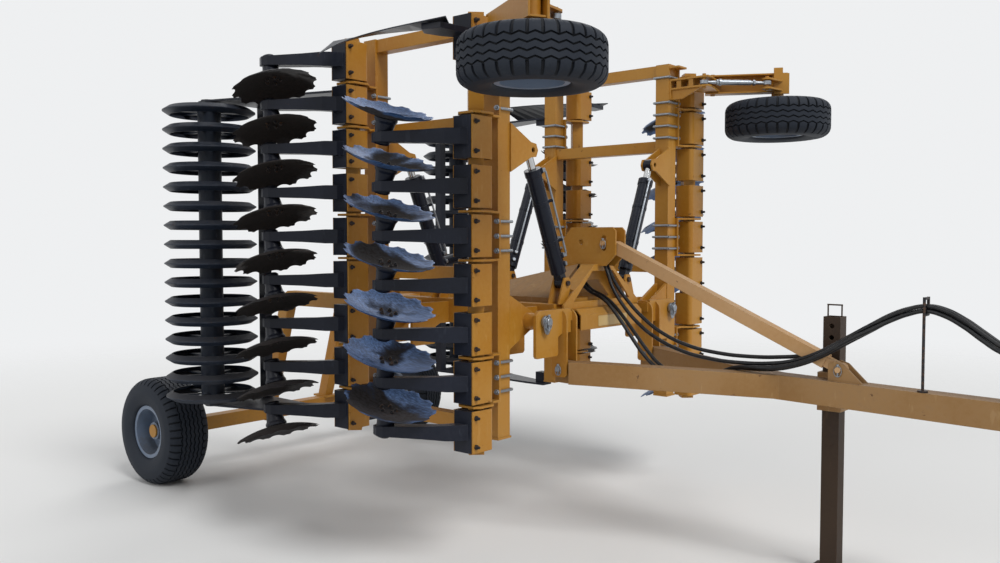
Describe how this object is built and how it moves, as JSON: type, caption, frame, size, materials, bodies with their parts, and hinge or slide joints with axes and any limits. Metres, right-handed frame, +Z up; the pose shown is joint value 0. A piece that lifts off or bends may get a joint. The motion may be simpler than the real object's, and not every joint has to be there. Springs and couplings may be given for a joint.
{
  "type": "trailed disc harrow",
  "caption": "Trailed compact disc harrow folded for the road: two upright wings of dished discs on rubber sprung arms, ring rollers, gauge wheels, drawbar and transport axle.",
  "frame": {"origin": "on the ground under the middle of the whole machine", "axes": "+X is the direction of travel, +Y is the left wing, +Z is up"},
  "size_m": [6.059, 3.38, 2.93],
  "materials": {
    "frame_paint": "worn yellow ochre paint with scratches, chips and dust",
    "drawbar_paint": "paler, dusty yellow ochre paint",
    "black_paint": "black paint, dusty and worn",
    "cylinder_paint": "dark blue black cylinder paint",
    "disc_steel": "soil polished steel with dried earth and rust",
    "bright_steel": "zinc plated steel, slightly dull",
    "chrome_rod": "chrome plated rod",
    "rim_silver": "silver rim paint, dusty",
    "tyre": "black tyre rubber, dusty",
    "rubber": "black rubber"
  },
  "bodies": {
    "frame": {"front_crossbeam": "frame_paint", "rear_crossbeam": "frame_paint", "long_beams": "frame_paint", "tower": "frame_paint", "cover": "drawbar_paint", "drawbar": "drawbar_paint", "tow_eye": "black_paint", "top_stay": "drawbar_paint", "hose_holder": "bright_steel", "valve_block": "bright_steel", "couplers": "bright_steel", "hose_1": "rubber", "hose_2": "rubber", "hose_3": "rubber", "hose_4": "rubber"},
    "chassis": {"chassis": "frame_paint"},
    "chassis_barrel": {"chassis_barrel": "cylinder_paint"},
    "chassis_rod": {"chassis_rod": "chrome_rod"},
    "leg": {"leg": "drawbar_paint"},
    "right_wheel": {"right_tyre": "tyre", "right_rim": "rim_silver"},
    "left_wheel": {"left_tyre": "tyre", "left_rim": "rim_silver"},
    "right_wing": {"right_beams": "frame_paint", "right_ties": "frame_paint", "right_disc_beams": "frame_paint", "right_ubolts": "bright_steel", "right_clamps": "frame_paint", "right_rubbers": "rubber", "right_arms": "black_paint", "right_discs": "disc_steel", "right_shield": "black_paint", "right_roller_arms": "black_paint", "right_gauge_arm": "frame_paint", "right_turnbuckle": "bright_steel"},
    "right_roller": {"right_roller": "black_paint"},
    "right_gauge_wheel": {"right_gauge_tyre": "tyre", "right_gauge_rim": "rim_silver"},
    "right_barrels": {"right_barrels": "cylinder_paint"},
    "right_rods": {"right_rods": "chrome_rod"},
    "left_wing": {"left_beams": "frame_paint", "left_ties": "frame_paint", "left_disc_beams": "frame_paint", "left_ubolts": "bright_steel", "left_clamps": "frame_paint", "left_rubbers": "rubber", "left_arms": "black_paint", "left_discs": "disc_steel", "left_shield": "black_paint", "left_roller_arms": "black_paint", "left_gauge_arm": "frame_paint", "left_turnbuckle": "bright_steel"},
    "left_roller": {"left_roller": "black_paint"},
    "left_gauge_wheel": {"left_gauge_tyre": "tyre", "left_gauge_rim": "rim_silver"},
    "left_barrels": {"left_barrels": "cylinder_paint"},
    "left_rods": {"left_rods": "chrome_rod"}
  },
  "joints": [
    {"name": "chassis_swing", "type": "hinge", "parent": "frame", "child": "chassis", "pos_m": [-0.9205, 0, 1.3], "axis": [0, 1, 0], "range_deg": [0, 24]},
    {"name": "chassis_barrel_turn", "type": "hinge", "parent": "frame", "child": "chassis_barrel", "pos_m": [-0.6805, 0, 1.66], "axis": [0, 1, 0], "range_deg": [0, 16.1]},
    {"name": "chassis_rod_slide", "type": "slide", "parent": "chassis_barrel", "child": "chassis_rod", "axis": [-0.9754, 0, -0.2206], "range_m": [-0.146, 0]},
    {"name": "leg_slide", "type": "slide", "parent": "frame", "child": "leg", "axis": [0, 0, 1], "range_m": [0, 0.62]},
    {"name": "right_wheel_turn", "type": "hinge", "parent": "chassis", "child": "right_wheel", "pos_m": [-2.6505, -1.192, 0.379], "axis": [0, 1, 0], "continuous": true},
    {"name": "left_wheel_turn", "type": "hinge", "parent": "chassis", "child": "left_wheel", "pos_m": [-2.6505, 1.192, 0.379], "axis": [0, 1, 0], "continuous": true},
    {"name": "right_fold", "type": "hinge", "parent": "frame", "child": "right_wing", "pos_m": [-0.1955, -0.68, 1.3], "axis": [1, 0, 0], "range_deg": [0, 90]},
    {"name": "right_roller_turn", "type": "hinge", "parent": "right_wing", "child": "right_roller", "pos_m": [-1.9805, -1.212, 1.65], "axis": [0, 0, 1], "continuous": true},
    {"name": "right_gauge_turn", "type": "hinge", "parent": "right_wing", "child": "right_gauge_wheel", "pos_m": [0.8455, -1.345, 2.556], "axis": [0, 0, 1], "continuous": true},
    {"name": "right_barrels_turn", "type": "hinge", "parent": "frame", "child": "right_barrels", "pos_m": [0.2675, -0.33, 1.495], "axis": [1, 0, 0], "range_deg": [0, 74.1]},
    {"name": "right_rods_slide", "type": "slide", "parent": "right_barrels", "child": "right_rods", "axis": [0, -0.3947, 0.9188], "range_m": [0, 0.4905]},
    {"name": "left_fold", "type": "hinge", "parent": "frame", "child": "left_wing", "pos_m": [-0.1955, 0.68, 1.3], "axis": [-1, 0, 0], "range_deg": [0, 90]},
    {"name": "left_roller_turn", "type": "hinge", "parent": "left_wing", "child": "left_roller", "pos_m": [-1.9805, 1.212, 1.65], "axis": [0, 0, 1], "continuous": true},
    {"name": "left_gauge_turn", "type": "hinge", "parent": "left_wing", "child": "left_gauge_wheel", "pos_m": [0.8455, 1.345, 2.556], "axis": [0, 0, 1], "continuous": true},
    {"name": "left_barrels_turn", "type": "hinge", "parent": "frame", "child": "left_barrels", "pos_m": [0.2675, 0.33, 1.495], "axis": [-1, 0, 0], "range_deg": [0, 74.1]},
    {"name": "left_rods_slide", "type": "slide", "parent": "left_barrels", "child": "left_rods", "axis": [0, 0.3947, 0.9188], "range_m": [0, 0.4905]}
  ],
  "couplings": [
    {"joint": "chassis_barrel_turn", "follows": "chassis_swing", "ratio": 0.66167},
    {"joint": "chassis_rod_slide", "follows": "chassis_swing", "m_per_rad": -0.337},
    {"joint": "right_barrels_turn", "follows": "right_fold", "ratio": 0.82271},
    {"joint": "right_rods_slide", "follows": "right_fold", "m_per_rad": 0.31175},
    {"joint": "left_barrels_turn", "follows": "left_fold", "ratio": 0.82271},
    {"joint": "left_rods_slide", "follows": "left_fold", "m_per_rad": 0.31175}
  ]
}
